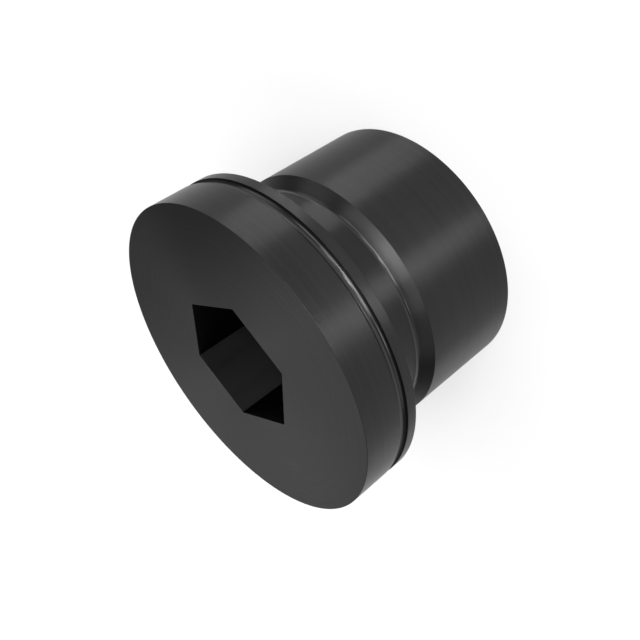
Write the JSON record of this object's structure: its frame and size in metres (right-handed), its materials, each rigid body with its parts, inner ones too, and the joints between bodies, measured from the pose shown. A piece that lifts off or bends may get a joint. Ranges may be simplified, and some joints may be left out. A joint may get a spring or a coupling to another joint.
{
  "type": "hex socket plug",
  "caption": "Turned steel screw plug with a flat collar, a hexagon socket in its front face, a round groove in its rim, a relieved neck and a plain stud.",
  "frame": {"origin": "centre of the stud's end face, at the bottom", "axes": "+Z along the plug's axis, from the stud's end towards the collar's front face; +X through a corner of the hexagon socket"},
  "size_m": [0.0268, 0.0268, 0.019],
  "materials": {
    "black_oxide_steel": "black oxide on turned steel, satin"
  },
  "bodies": {
    "root": {"plug_body": "black_oxide_steel"}
  },
  "joints": []
}
